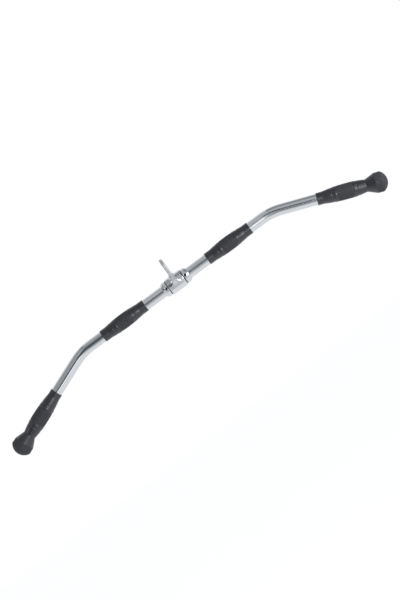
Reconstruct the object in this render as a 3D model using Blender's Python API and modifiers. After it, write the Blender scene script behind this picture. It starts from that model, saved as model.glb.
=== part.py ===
"""Revolving lat pulldown bar.

A bent steel tube carries four rubber grips and turns in a hub, which hangs from the
cable by its eye. Metres, +Z up. The origin is the centre of the eye's hole, the straight
middle of the bar lies along X and its two arms droop towards -Z.
"""

import math

import bmesh
import bpy
from mathutils import Vector

# Gap between two pieces that touch or fit together
FIT_GAP = 0.0003

# Bar tube
TUBE_RADIUS = 0.015
TUBE_WALL = 0.003
HALF_SPAN = 0.3055  # hub centre to the corner where the middle's line meets an arm's
BEND_ANGLE = math.radians(21)
BEND_RADIUS = 0.150
ARM_LENGTH = 0.286  # that corner to the tube's cut end

# Flanged bushes, one in each end of the hub's sleeve
BUSH_WALL = 0.0027
BUSH_LENGTH = 0.018
BUSH_FLANGE_WIDTH = 0.0015
BUSH_FLANGE_RIM = 0.0018  # how far the flange stands out past the sleeve's bore

# Hub: a sleeve with an eye plate standing square to the bar
SLEEVE_LENGTH = 0.0466
SLEEVE_WALL = 0.0048
SLEEVE_EDGE = 0.0008
EYE_HEIGHT = 0.051  # bar's centre line to the centre of the eye's hole
EYE_THICKNESS = 0.0082
EYE_HOLE_RADIUS = 0.013
EYE_RIM = 0.009
EYE_FILLET = 0.0085
EYE_BASE_RISE = 0.004  # how far the plate's foot stands proud of the sleeve's front and back

# Shaft collars that hold the hub in the middle of the bar
COLLAR_WALL = 0.0054
COLLAR_WIDTH = 0.015
COLLAR_TAPER = 0.006
COLLAR_NOSE_WALL = 0.0013
COLLAR_EDGE = 0.0006

# Socket set screws: an angle is above the horizontal, on the bar's front
SCREW_RADIUS = 0.003
SCREW_EDGE = 0.0005
SCREW_SINK = 0.0005  # depth of a screw's outer end below the surface
SOCKET_FLATS = 0.003
SOCKET_DEPTH = 0.0025
BUSH_SCREW_INSET = 0.008  # sleeve's end face to the screw's axis
BUSH_SCREW_ANGLE = math.radians(-90)
COLLAR_SCREW_INSET = 0.0044  # collar's inner face to the screw's axis
COLLAR_SCREW_ANGLE = math.radians(3)

# Rubber grips on the straight middle, one each side of the hub
MID_GRIP_LENGTH = 0.1374
MID_GRIP_CENTRE = 0.1693  # from the hub's centre
MID_CUFF_LENGTH = 0.019
MID_GRIP_SWELL = 0.0034  # how far the middle stands out past the cuffs
CUFF_WALL = 0.0011

# Rubber grips on the arms, each closed by a knob
END_GRIP_LENGTH = 0.1908
END_CUFF_LENGTH = 0.016
END_GRIP_SWELL = 0.0048
END_GRIP_FULL_START = 0.078  # the fullest stretch, from the grip's open end
END_GRIP_FULL_END = 0.086
NECK_PLACE = 0.133
NECK_WALL = 0.0012
KNOB_RADIUS = 0.0273
KNOB_SHOULDER_RADIUS = 0.0268
KNOB_FLARE_LENGTH = 0.0247
DOME_RADIUS = 0.031
KNOB_CAP = 0.0266  # rubber between the tube's plug and the knob's far end

# Plugs in the tube's cut ends
PLUG_HEAD_WIDTH = 0.002
PLUG_HEAD_STEP = 0.0008  # how far the head stays inside the tube's outside
PLUG_STEM_LENGTH = 0.016
PLUG_STEM_EDGE = 0.001

# How finely round shapes are divided
ROUND_SEGMENTS = 32
HUB_SEGMENTS = 48
SCREW_SEGMENTS = 20
BEND_STEPS = 7
ARC_STEPS = 6
SWELL_STEPS = 6
EYE_ARC_STEPS = 16
MERGE_DISTANCE = 0.00001

# Sizes that follow from those above
BORE_RADIUS = TUBE_RADIUS + FIT_GAP
BUSH_RADIUS = BORE_RADIUS + BUSH_WALL
SLEEVE_BORE = BUSH_RADIUS + FIT_GAP
SLEEVE_RADIUS = SLEEVE_BORE + SLEEVE_WALL
COLLAR_RADIUS = BORE_RADIUS + COLLAR_WALL
COLLAR_START = SLEEVE_LENGTH / 2 + BUSH_FLANGE_WIDTH + 2 * FIT_GAP
BEND_TANGENT = BEND_RADIUS * math.tan(BEND_ANGLE / 2)

SIDES = {"left": -1, "right": 1}


def clear_scene():
    for obj in list(bpy.data.objects):
        bpy.data.objects.remove(obj, do_unlink=True)


def make_collection(name):
    collection = bpy.data.collections.new(name)
    bpy.context.scene.collection.children.link(collection)
    return collection


def make_material(name, colour, metallic, roughness):
    material = bpy.data.materials.new(name)
    material.use_nodes = True
    shader = material.node_tree.nodes["Principled BSDF"]
    shader.inputs["Base Color"].default_value = (*colour, 1)
    shader.inputs["Metallic"].default_value = metallic
    shader.inputs["Roughness"].default_value = roughness
    return material


def make_empty(name):
    """An empty in the middle of the hub, on the bar's centre line."""
    empty = bpy.data.objects.new(name, None)
    empty.location = (0, 0, -EYE_HEIGHT)
    parts.objects.link(empty)
    return empty


def make_object(name, mesh, material=None, parent=None):
    """A part, or a cutter if it has no material."""
    obj = bpy.data.objects.new(name, mesh)
    obj.parent = parent
    if material is None:
        cutters.objects.link(obj)
        obj.hide_render = True
        obj.display_type = "WIRE"
    else:
        parts.objects.link(obj)
        mesh.materials.append(material)
    return obj


def turned(name, outline, segments, material=None, parent=None):
    """Turn an outline of (radius, height) points about local Z.

    It runs down its outer side. One that starts and ends on the axis makes a solid,
    and any other is closed into a ring.
    """
    points = [(radius, 0, height) for radius, height in outline]
    edges = [(index, index + 1) for index in range(len(points) - 1)]
    if outline[0][0] > 0:
        edges.append((len(points) - 1, 0))
    mesh = bpy.data.meshes.new(name)
    mesh.from_pydata(points, edges, [])
    obj = make_object(name, mesh, material, parent)
    screw = obj.modifiers.new("Turn", "SCREW")
    screw.steps = segments
    screw.render_steps = segments
    screw.use_smooth_shade = True
    screw.use_merge_vertices = True
    screw.merge_threshold = MERGE_DISTANCE
    return obj


def prism(name, radius, depth, sides, parent):
    """A cutter along local Z, centred on its origin."""
    mesh = bpy.data.meshes.new(name)
    shape = bmesh.new()
    bmesh.ops.create_cone(
        shape, cap_ends=True, segments=sides, radius1=radius, radius2=radius, depth=depth
    )
    shape.to_mesh(mesh)
    shape.free()
    return make_object(name, mesh, parent=parent)


def combine(obj, other, operation):
    boolean = obj.modifiers.new(other.name, "BOOLEAN")
    boolean.operation = operation
    boolean.object = other


def mesh_from_curve(curve_object):
    """The curve's solid as a welded mesh. The curve itself is removed."""
    graph = bpy.context.evaluated_depsgraph_get()
    mesh = bpy.data.meshes.new_from_object(curve_object.evaluated_get(graph))
    shape = bmesh.new()
    shape.from_mesh(mesh)
    bmesh.ops.remove_doubles(shape, verts=shape.verts, dist=MERGE_DISTANCE)
    bmesh.ops.recalc_face_normals(shape, faces=shape.faces)
    shape.to_mesh(mesh)
    shape.free()
    bpy.data.objects.remove(curve_object, do_unlink=True)
    return mesh


def arc(centre, radius, start, end, steps):
    """Points on an arc, both ends included. Angles are in radians."""
    angles = [start + (end - start) * step / steps for step in range(steps + 1)]
    return [
        (centre[0] + radius * math.cos(angle), centre[1] + radius * math.sin(angle))
        for angle in angles
    ]


def swell(edge, full, steps):
    """Outline points from a (radius, height) edge on a parabola that levels off at full."""
    points = []
    for step in range(steps):
        rest = 1 - step / steps
        radius = full[0] + (edge[0] - full[0]) * rest**2
        height = full[1] + (edge[1] - full[1]) * rest
        points.append((radius, height))
    return points


def lay_along_bar(obj, side, distance):
    """Put the origin on the straight middle, with local Z pointing away from the hub."""
    obj.location = (side * distance, 0, 0)
    obj.rotation_euler = (0, side * math.pi / 2, 0)


def lay_along_arm(obj, side, distance):
    """Put the origin on an arm, past its corner, with local Z pointing to its tip."""
    reach = HALF_SPAN + distance * math.cos(BEND_ANGLE)
    drop = distance * math.sin(BEND_ANGLE)
    obj.location = (side * reach, 0, -drop)
    obj.rotation_euler = (0, side * (math.pi / 2 + BEND_ANGLE), 0)


def half_centre_line():
    """The tube's centre line from the start of a bend to the cut end, as (x, z) points."""
    bend_start = HALF_SPAN - BEND_TANGENT
    top = math.pi / 2
    points = arc((bend_start, -BEND_RADIUS), BEND_RADIUS, top, top - BEND_ANGLE, BEND_STEPS)
    end = (
        HALF_SPAN + ARM_LENGTH * math.cos(BEND_ANGLE),
        -ARM_LENGTH * math.sin(BEND_ANGLE),
    )
    return points + [end]


def make_bar_tube():
    right = half_centre_line()
    left = [(-x, z) for x, z in reversed(right)]
    points = left + right
    curve = bpy.data.curves.new("bar_tube", "CURVE")
    curve.dimensions = "3D"
    curve.bevel_depth = TUBE_RADIUS
    curve.bevel_resolution = (ROUND_SEGMENTS - 4) // 2
    spline = curve.splines.new("POLY")
    spline.points.add(len(points) - 1)
    for point, (x, z) in zip(spline.points, points):
        point.co = (x, 0, z, 1)
    tube = make_object("bar_tube", curve, chrome, bar_axis)
    shell = tube.modifiers.new("Wall", "SOLIDIFY")
    shell.thickness = TUBE_WALL
    shell.offset = -1
    shell.use_even_offset = True


def make_eye_outline():
    """The plate's outline with its hole: a head round the hole, widening to a round foot.

    The foot is a circle set off towards the eye. It stands proud of the sleeve at the
    front and back, and runs into it underneath.
    """
    head_radius = EYE_HOLE_RADIUS + EYE_RIM
    foot_radius = SLEEVE_RADIUS + EYE_BASE_RISE
    foot_centre = EYE_BASE_RISE + 2 * FIT_GAP
    lean = math.asin((foot_radius - head_radius) / (EYE_HEIGHT - foot_centre))
    head = arc((0, EYE_HEIGHT), head_radius, lean, math.pi - lean, EYE_ARC_STEPS)
    foot = arc((0, foot_centre), foot_radius, math.pi - lean, 2 * math.pi + lean, EYE_ARC_STEPS)
    hole = arc((0, EYE_HEIGHT), EYE_HOLE_RADIUS, 0, 2 * math.pi, ROUND_SEGMENTS)[:-1]
    curve = bpy.data.curves.new("eye_outline", "CURVE")
    curve.dimensions = "2D"
    curve.fill_mode = "BOTH"
    curve.extrude = EYE_THICKNESS / 2 + 2 * EYE_FILLET
    for points in (head + foot, hole):
        spline = curve.splines.new("POLY")
        spline.points.add(len(points) - 1)
        for point, (across, up) in zip(spline.points, points):
            point.co = (across, up, 0, 1)
        spline.use_cyclic_u = True
    drawn = make_object("eye_outline", curve)
    outline = make_object("eye_outline", mesh_from_curve(drawn), parent=hub_axis)
    outline.rotation_euler = (math.pi / 2, 0, math.pi / 2)
    return outline


def make_eye():
    """A disc with a fillet at its root, cut to the eye's outline."""
    root = SLEEVE_RADIUS - SLEEVE_WALL / 2
    toe = SLEEVE_RADIUS - FIT_GAP
    half = EYE_THICKNESS / 2
    reach = EYE_HEIGHT + EYE_HOLE_RADIUS + 2 * EYE_RIM
    fillet_centre = (toe + EYE_FILLET, half + EYE_FILLET)
    upper = [(root, half + EYE_FILLET)]
    upper += arc(fillet_centre, EYE_FILLET, math.pi, 1.5 * math.pi, ARC_STEPS)
    upper += [(reach, half)]
    lower = [(radius, -height) for radius, height in reversed(upper)]
    eye = turned("eye", upper + lower, HUB_SEGMENTS, parent=hub_axis)
    lay_along_bar(eye, 1, 0)
    combine(eye, make_eye_outline(), "INTERSECT")
    return eye


def make_radial_hole(name, place, angle, parent):
    """A cutter for a set screw's hole, from the bar's centre line outwards at an angle."""
    depth = 2 * SLEEVE_RADIUS
    hole = prism(name, SCREW_RADIUS + FIT_GAP, depth, SCREW_SEGMENTS, parent)
    out = Vector((0, -math.cos(angle), math.sin(angle)))
    hole.location = Vector((place, 0, 0)) + out * depth / 2
    hole.rotation_euler = (math.pi / 2 - angle, 0, 0)
    return hole


def make_set_screw(name, place, angle, inner, outer, parent):
    """A socket set screw between two distances from the bar's centre line."""
    body = SCREW_RADIUS - SCREW_EDGE
    outline = [
        (0, outer),
        (body, outer),
        (SCREW_RADIUS, outer - SCREW_EDGE),
        (SCREW_RADIUS, inner + SCREW_EDGE),
        (body, inner),
        (0, inner),
    ]
    screw = turned(name, outline, SCREW_SEGMENTS, black_steel, parent)
    screw.location = (place, 0, 0)
    screw.rotation_euler = (math.pi / 2 - angle, 0, 0)
    socket = prism(name + "_socket", SOCKET_FLATS / math.sqrt(3), 2 * SOCKET_DEPTH, 6, screw)
    socket.location = (0, 0, outer)
    combine(screw, socket, "DIFFERENCE")


def make_swivel_housing():
    half = SLEEVE_LENGTH / 2
    outline = [
        (SLEEVE_RADIUS - SLEEVE_EDGE, half),
        (SLEEVE_RADIUS, half - SLEEVE_EDGE),
        (SLEEVE_RADIUS, SLEEVE_EDGE - half),
        (SLEEVE_RADIUS - SLEEVE_EDGE, -half),
        (SLEEVE_BORE, -half),
        (SLEEVE_BORE, half),
    ]
    housing = turned("swivel_housing", outline, HUB_SEGMENTS, cast_chrome, hub_axis)
    lay_along_bar(housing, 1, 0)
    combine(housing, make_eye(), "UNION")
    for side_name, side in SIDES.items():
        place = side * (half - BUSH_SCREW_INSET)
        angle = BUSH_SCREW_ANGLE
        hole = make_radial_hole("bush_screw_hole_" + side_name, place, angle, hub_axis)
        combine(housing, hole, "DIFFERENCE")
        name = "bush_screw_" + side_name
        inner = BUSH_RADIUS + FIT_GAP
        make_set_screw(name, place, angle, inner, SLEEVE_RADIUS - SCREW_SINK, hub_axis)


def make_bush(side_name, side):
    flange_radius = SLEEVE_BORE + BUSH_FLANGE_RIM
    flange_face = BUSH_FLANGE_WIDTH
    outline = [
        (flange_radius, flange_face),
        (flange_radius, 0),
        (BUSH_RADIUS, 0),
        (BUSH_RADIUS, -BUSH_LENGTH),
        (BORE_RADIUS, -BUSH_LENGTH),
        (BORE_RADIUS, flange_face),
    ]
    bush = turned("bush_" + side_name, outline, ROUND_SEGMENTS, bush_plastic, hub_axis)
    lay_along_bar(bush, side, SLEEVE_LENGTH / 2 + FIT_GAP)


def make_collar(side_name, side):
    nose_radius = BORE_RADIUS + COLLAR_NOSE_WALL
    outline = [
        (nose_radius, COLLAR_WIDTH),
        (COLLAR_RADIUS, COLLAR_WIDTH - COLLAR_TAPER),
        (COLLAR_RADIUS, COLLAR_EDGE),
        (COLLAR_RADIUS - COLLAR_EDGE, 0),
        (BORE_RADIUS, 0),
        (BORE_RADIUS, COLLAR_WIDTH),
    ]
    collar = turned("collar_" + side_name, outline, HUB_SEGMENTS, chrome, bar_axis)
    lay_along_bar(collar, side, COLLAR_START)
    place = side * (COLLAR_START + COLLAR_SCREW_INSET)
    angle = COLLAR_SCREW_ANGLE
    hole = make_radial_hole("collar_screw_hole_" + side_name, place, angle, bar_axis)
    combine(collar, hole, "DIFFERENCE")
    name = "collar_screw_" + side_name
    make_set_screw(name, place, angle, BORE_RADIUS, COLLAR_RADIUS - SCREW_SINK, bar_axis)


def make_mid_grip(side_name, side):
    cuff_radius = BORE_RADIUS + CUFF_WALL
    half = MID_GRIP_LENGTH / 2
    cuff_end = (cuff_radius, half - MID_CUFF_LENGTH)
    full = (cuff_radius + MID_GRIP_SWELL, 0)
    upper = [(cuff_radius, half)] + swell(cuff_end, full, SWELL_STEPS)
    lower = [(radius, -height) for radius, height in reversed(upper)]
    outline = upper + [full] + lower + [(BORE_RADIUS, -half), (BORE_RADIUS, half)]
    grip = turned("mid_grip_" + side_name, outline, ROUND_SEGMENTS, rubber, bar_axis)
    lay_along_bar(grip, side, MID_GRIP_CENTRE)


def make_end_grip(side_name, side):
    cuff_radius = BORE_RADIUS + CUFF_WALL
    full_radius = cuff_radius + END_GRIP_SWELL
    neck = (BORE_RADIUS + NECK_WALL, NECK_PLACE)
    shoulder = (KNOB_SHOULDER_RADIUS, NECK_PLACE + KNOB_FLARE_LENGTH)
    dome_centre = END_GRIP_LENGTH - DOME_RADIUS
    dome_edge = math.asin(KNOB_RADIUS / DOME_RADIUS)
    blind_end = END_GRIP_LENGTH - KNOB_CAP
    outline = [(0, END_GRIP_LENGTH)]
    top = math.pi / 2
    outline += arc((0, dome_centre), DOME_RADIUS, top, top - dome_edge, ARC_STEPS)[1:]
    outline += [shoulder]
    outline += swell(neck, (full_radius, END_GRIP_FULL_END), SWELL_STEPS)
    outline += [(full_radius, END_GRIP_FULL_END)]
    cuff_end = (cuff_radius, END_CUFF_LENGTH)
    rise = swell(cuff_end, (full_radius, END_GRIP_FULL_START), SWELL_STEPS)
    outline += [(full_radius, END_GRIP_FULL_START)] + rise[::-1]
    outline += [(cuff_radius, 0), (BORE_RADIUS, 0), (BORE_RADIUS, blind_end), (0, blind_end)]
    grip = turned("end_grip_" + side_name, outline, ROUND_SEGMENTS, rubber, bar_axis)
    plug_end = ARM_LENGTH + PLUG_HEAD_WIDTH + 2 * FIT_GAP
    lay_along_arm(grip, side, plug_end - blind_end)


def make_tube_plug(side_name, side):
    head_radius = TUBE_RADIUS - PLUG_HEAD_STEP
    stem_radius = TUBE_RADIUS - TUBE_WALL - FIT_GAP
    outline = [
        (0, PLUG_HEAD_WIDTH),
        (head_radius, PLUG_HEAD_WIDTH),
        (head_radius, 0),
        (stem_radius, 0),
        (stem_radius, PLUG_STEM_EDGE - PLUG_STEM_LENGTH),
        (stem_radius - PLUG_STEM_EDGE, -PLUG_STEM_LENGTH),
        (0, -PLUG_STEM_LENGTH),
    ]
    plug = turned("tube_plug_" + side_name, outline, ROUND_SEGMENTS, plug_plastic, bar_axis)
    lay_along_arm(plug, side, ARM_LENGTH + FIT_GAP)


clear_scene()
parts = make_collection("lat_pulldown_bar")
cutters = make_collection("cutters")

chrome = make_material("chrome", (0.62, 0.64, 0.66), 1.0, 0.12)
cast_chrome = make_material("cast_chrome", (0.56, 0.58, 0.61), 1.0, 0.22)
black_steel = make_material("black_steel", (0.06, 0.06, 0.07), 1.0, 0.35)
bush_plastic = make_material("bush_plastic", (0.03, 0.035, 0.04), 0.0, 0.5)
plug_plastic = make_material("plug_plastic", (0.02, 0.02, 0.02), 0.0, 0.6)
rubber = make_material("rubber", (0.035, 0.038, 0.043), 0.0, 0.6)

hub_axis = make_empty("hub_axis")
bar_axis = make_empty("bar_axis")

make_bar_tube()
make_swivel_housing()
for side_name, side in SIDES.items():
    make_bush(side_name, side)
    make_collar(side_name, side)
    make_mid_grip(side_name, side)
    make_end_grip(side_name, side)
    make_tube_plug(side_name, side)
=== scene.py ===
"""Looks of a revolving lat pulldown bar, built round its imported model.

Metres, +Z up. The straight middle of the bar lies along X, its arms droop towards -Z and
the camera looks along +Y. The pieces are round bodies turned about an axis, one tube swept
along the bar's centre line, and drilled or cast bodies meshed from a distance to their
surface.
"""

import math

import bmesh
import bpy
import numpy as np
from mathutils import Matrix, Vector


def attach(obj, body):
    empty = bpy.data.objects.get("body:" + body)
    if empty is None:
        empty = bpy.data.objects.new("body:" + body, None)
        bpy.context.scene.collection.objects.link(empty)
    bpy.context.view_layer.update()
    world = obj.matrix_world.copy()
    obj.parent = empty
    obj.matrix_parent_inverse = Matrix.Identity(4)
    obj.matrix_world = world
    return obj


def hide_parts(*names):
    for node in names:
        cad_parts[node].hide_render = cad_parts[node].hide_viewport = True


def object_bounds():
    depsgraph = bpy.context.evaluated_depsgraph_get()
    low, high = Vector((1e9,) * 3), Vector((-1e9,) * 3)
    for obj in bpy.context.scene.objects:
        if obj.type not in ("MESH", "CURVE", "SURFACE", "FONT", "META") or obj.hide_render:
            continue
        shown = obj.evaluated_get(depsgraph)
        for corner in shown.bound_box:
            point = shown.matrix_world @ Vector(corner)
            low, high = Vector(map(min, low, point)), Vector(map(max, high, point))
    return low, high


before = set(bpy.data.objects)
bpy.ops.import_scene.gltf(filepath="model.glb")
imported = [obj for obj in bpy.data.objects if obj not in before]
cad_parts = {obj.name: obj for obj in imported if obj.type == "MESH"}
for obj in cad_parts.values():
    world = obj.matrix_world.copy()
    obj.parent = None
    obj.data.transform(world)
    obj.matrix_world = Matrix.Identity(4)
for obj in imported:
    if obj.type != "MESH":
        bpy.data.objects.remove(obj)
cad_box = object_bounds()

FIT_GAP = 0.0003  # between two pieces that fit together

# Bar tube
TUBE_RADIUS = 0.015
TUBE_WALL = 0.003
TUBE_EDGE = 0.0006  # rounding of its cut ends
HALF_SPAN = 0.3055  # hub centre to the corner where the middle's line meets an arm's
BEND_ANGLE = math.radians(21)
BEND_RADIUS = 0.150
ARM_LENGTH = 0.286  # that corner to the tube's cut end
BORE_RADIUS = TUBE_RADIUS + FIT_GAP

# Hub
EYE_HEIGHT = 0.051  # bar's centre line to the centre of the eye's hole
EYE_THICKNESS = 0.0082
EYE_HOLE_RADIUS = 0.013
EYE_RIM = 0.009
EYE_EDGE = 0.0018
EYE_FILLET = 0.0085  # where the plate stands on the sleeve
EYE_FOOT = 0.004  # bar's centre line to the plate's lower edge, inside the sleeve
FOOT_EDGE = 0.0006  # rounding where the plate's foot is ground off flush
EYE_BASE_RISE = 0.004  # how far the hub's middle stands out to the front and the back
RIDGE_LOW = math.radians(-90)  # that rise starts and ends at these angles above the horizontal
RIDGE_HIGH = math.radians(90)
RIDGE_FADE = math.radians(85)
SLEEVE_LENGTH = 0.0466
SLEEVE_BORE = 0.0183
SLEEVE_RADIUS = 0.0231
SLEEVE_EDGE = 0.0022
SLEEVE_BORE_EDGE = 0.0006
BUSH_RADIUS = 0.018
BUSH_LENGTH = 0.018
BUSH_FLANGE_WIDTH = 0.0015
BUSH_FLANGE_RADIUS = 0.0201
BUSH_EDGE = 0.0003

# Shaft collars
COLLAR_RADIUS = 0.0207
COLLAR_WIDTH = 0.015
COLLAR_TAPER = 0.006  # length of its tapered edge, on the side away from the hub
COLLAR_NOSE_RADIUS = 0.0166
COLLAR_EDGE = 0.0007
COLLAR_BORE_EDGE = 0.0003
COLLAR_START = SLEEVE_LENGTH / 2 + BUSH_FLANGE_WIDTH + 2 * FIT_GAP

# Socket set screws: an angle is above the horizontal, on the bar's front
SCREW_RADIUS = 0.003
SCREW_EDGE = 0.0005
SCREW_SINK = 0.0005  # depth of a screw's outer end below the surface
SCREW_HOLE_EDGE = 0.0004
SOCKET_FLATS = 0.003
SOCKET_DEPTH = 0.0025
BUSH_SCREW_INSET = 0.008  # from the sleeve's end
BUSH_SCREW_ANGLE = math.radians(-90)
COLLAR_SCREW_INSET = 0.0044  # from the collar's inner face
COLLAR_SCREW_ANGLE = math.radians(3)

# Rubber grips. Places on them are distances from the open end, along the grip
CUFF_RADIUS = 0.0164
GRIP_EDGE = 0.0009  # rounding of a cuff's outer edge
LIP_ROUNDING = 0.0003  # rounding of a cuff's edge at the tube
MID_GRIP_LENGTH = 0.1374
MID_GRIP_CENTRE = 0.1693  # from the hub's centre
MID_CUFF_LENGTH = 0.019
MID_GRIP_SWELL = 0.0034  # how much wider its middle is than its cuffs
END_GRIP_LENGTH = 0.1908
END_CUFF_LENGTH = 0.016
END_GRIP_SWELL = 0.0048
END_GRIP_FULL_START = 0.078
END_GRIP_FULL_END = 0.086
NECK_PLACE = 0.133
NECK_RADIUS = 0.0165
KNOB_RADIUS = 0.0273
KNOB_SHOULDER_RADIUS = 0.0268
KNOB_SHOULDER_ROUNDING = 0.005
KNOB_FLARE_LENGTH = 0.0247
DOME_RADIUS = 0.031
KNOB_CAP = 0.0266  # rubber past the tube's plug
PLUG_HEAD_WIDTH = 0.002

# Moulded relief of the grips: a raised band with a groove on its inner side and a shallow dip
# on its outer side, at each end of a sunk panel that is covered with pebbles
BAND_WIDTH = 0.0062
BAND_RISE = 0.0005
GROOVE_WIDTH = 0.0016
GROOVE_DEPTH = 0.0004
DIP_WIDTH = 0.005
DIP_DEPTH = 0.0005
MID_BAND = 0.0442
MID_DIP = 0.0350
END_BANDS = (0.050, 0.1015)
END_DIPS = (0.041, 0.1095)
PANEL_SINK = 0.0002
PEBBLE_RISE = 0.00017
PEBBLES_AROUND = 36
PEBBLE_PITCH = 0.0036

# How finely the pieces are divided
ROUND_SEGMENTS = 128
GRIP_SEGMENTS = PEBBLES_AROUND * 6
GRIP_STEP = 0.0006
TUBE_STEP = 0.010
BEND_STEPS = 28
CORNER_STEPS = 5
DOME_STEPS = 40
CASTING_STEP = 0.00055
COLLAR_STEP = 0.00042
SCREW_STEP = 0.00016

# How a surface meshed from a distance is settled: its points are drawn onto it, then evened
# out and drawn onto it again
SLOPE_REACH = 0.2  # share of a step over which a slope is taken
FIRST_PULLS = 6
EVENINGS = 3
LATER_PULLS = 3

# Angles between faces, in degrees, from which an edge is sharp
TURNED_SHARP = 40
MESHED_SHARP = 60

SIDES = {"left": -1, "right": 1}
HUB_CENTRE = Vector((0, 0, -EYE_HEIGHT))


def make_object(name, vertices, faces, sharp_degrees=TURNED_SHARP):
    """A smooth object in the scene, with sharp edges where its faces turn enough."""
    mesh = bpy.data.meshes.new(name)
    mesh.from_pydata([tuple(v) for v in vertices], [], [tuple(f) for f in faces])
    mesh.validate()
    mesh.shade_smooth()
    mesh.set_sharp_from_angle(angle=math.radians(sharp_degrees))
    obj = bpy.data.objects.new(name, mesh)
    bpy.context.scene.collection.objects.link(obj)
    return obj


def weigh_normals(obj):
    """Flat faces keep their shading where they meet a small rounded edge."""
    modifier = obj.modifiers.new("Normals", "WEIGHTED_NORMAL")
    modifier.keep_sharp = True


def arc(centre, radius, start, end, steps):
    """Points on an arc, both ends included, with its angles in radians."""
    angles = np.linspace(start, end, steps + 1)
    return [(centre[0] + radius * math.cos(a), centre[1] + radius * math.sin(a)) for a in angles]


def rounded(corners, closed=True):
    """Points of a polygon with an arc at each (x, y, rounding) corner that has a rounding.

    One that isn't closed keeps its first and last corners sharp.
    """
    points = []
    count = len(corners)
    for index, (x, y, rounding) in enumerate(corners):
        at_end = not closed and index in (0, count - 1)
        if rounding == 0 or at_end:
            points.append((x, y))
            continue
        corner = Vector((x, y))
        back = (Vector(corners[index - 1][:2]) - corner).normalized()
        ahead = (Vector(corners[(index + 1) % count][:2]) - corner).normalized()
        half = back.angle(ahead) / 2
        centre = corner + (back + ahead).normalized() * rounding / math.sin(half)
        reach = rounding / math.tan(half)
        first = (corner + back * reach - centre).normalized()
        last = (corner + ahead * reach - centre).normalized()
        for step in range(CORNER_STEPS + 1):
            direction = first.slerp(last, step / CORNER_STEPS)
            points.append(tuple(centre + direction * rounding))
    return points


def turned(name, outline, segments=ROUND_SEGMENTS, relief=None):
    """Turn an outline of (radius, height) points about local Z.

    It runs down its outer side. One that starts and ends on the axis makes a solid, and
    any other is closed into a ring. relief is added to the radius: a row for each point
    of the outline and a column for each segment.
    """
    outline = np.array(outline)
    angles = np.arange(segments) * 2 * math.pi / segments
    radii = outline[:, :1] + (0 if relief is None else relief)
    radii = np.broadcast_to(radii, (len(outline), segments))
    vertices = np.stack(
        [
            radii * np.cos(angles),
            radii * np.sin(angles),
            np.broadcast_to(outline[:, 1:], radii.shape),
        ],
        axis=-1,
    )
    on_axis = outline[0, 0] == 0
    numbers = np.arange(vertices.shape[0] * segments).reshape(-1, segments)
    around = np.roll(numbers, -1, axis=1)
    rows = list(range(len(outline) - 1)) + ([] if on_axis else [-1])
    faces = []
    for row in rows:
        below = row + 1
        faces.extend(zip(numbers[row], numbers[below], around[below], around[row]))
    obj = make_object(name, vertices.reshape(-1, 3), faces)
    if on_axis:
        weld(obj.data)
    weigh_normals(obj)
    return obj


WELD_REACH = 1e-7


def weld(mesh):
    """Join the points that lie together where an outline meets its axis."""
    shape = bmesh.new()
    shape.from_mesh(mesh)
    bmesh.ops.remove_doubles(shape, verts=shape.verts, dist=WELD_REACH)
    bmesh.ops.recalc_face_normals(shape, faces=shape.faces)
    shape.to_mesh(mesh)
    shape.free()


def set_down(obj, matrix, own_places=None):
    """Move a piece's points to their place on the object.

    Its own_place attribute keeps them as they were made, for its material. A bent piece
    gives them as they were before it was bent.
    """
    mesh = obj.data
    if own_places is None:
        own_places = np.empty(3 * len(mesh.vertices), np.float32)
        mesh.vertices.foreach_get("co", own_places)
    attribute = mesh.attributes.new("own_place", "FLOAT_VECTOR", "POINT")
    attribute.data.foreach_set("vector", own_places)
    mesh.transform(matrix)


def along_bar(side, distance):
    """An origin on the straight middle, with local Z pointing away from the hub."""
    turn = Matrix.Rotation(side * math.pi / 2, 4, "Y")
    return Matrix.Translation(HUB_CENTRE + Vector((side * distance, 0, 0))) @ turn


def along_arm(side, distance):
    """An origin on an arm, past its corner, with local Z pointing to its tip."""
    reach = HALF_SPAN + distance * math.cos(BEND_ANGLE)
    drop = distance * math.sin(BEND_ANGLE)
    place = HUB_CENTRE + Vector((side * reach, 0, -drop))
    turn = Matrix.Rotation(side * (math.pi / 2 + BEND_ANGLE), 4, "Y")
    return Matrix.Translation(place) @ turn


def cylinder_distance(points, radius, half_length, edge):
    """Distance to a cylinder about X with rounded edges."""
    across = np.hypot(points[:, 1], points[:, 2]) - radius + edge
    along = np.abs(points[:, 0]) - half_length + edge
    inside = np.minimum(np.maximum(across, along), 0)
    return inside + np.hypot(np.maximum(across, 0), np.maximum(along, 0)) - edge


def joined(first, second, fillet):
    """Both shapes, with a fillet where they meet."""
    near = np.hypot(np.maximum(fillet - first, 0), np.maximum(fillet - second, 0))
    return np.maximum(fillet, np.minimum(first, second)) - near


def shared(first, second, edge):
    """What lies in both shapes, with a rounded edge where they meet."""
    near = np.hypot(np.maximum(edge + first, 0), np.maximum(edge + second, 0))
    return np.minimum(-edge, np.maximum(first, second)) + near


def pear_distance(across, up, low_radius, high_radius, height):
    """Distance in a plane to the hull of two circles, one straight above the other."""
    across = np.abs(across)
    lean = (low_radius - high_radius) / height
    rise = math.sqrt(1 - lean**2)
    side = -lean * across + rise * up
    low = np.hypot(across, up) - low_radius
    high = np.hypot(across, up - height) - high_radius
    flank = rise * across + lean * up - low_radius
    return np.where(side < 0, low, np.where(side > rise * height, high, flank))


def radial_hole_distance(points, place, angle):
    """Distance to a set screw's hole, from the bar's centre line outwards at an angle."""
    offset = points - np.array((place, 0, 0))
    out = np.array((0, -math.cos(angle), math.sin(angle)))
    height = offset @ out
    across = np.linalg.norm(offset - height[:, None] * out, axis=1)
    return np.maximum(across - SCREW_RADIUS - FIT_GAP, -height)


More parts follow.
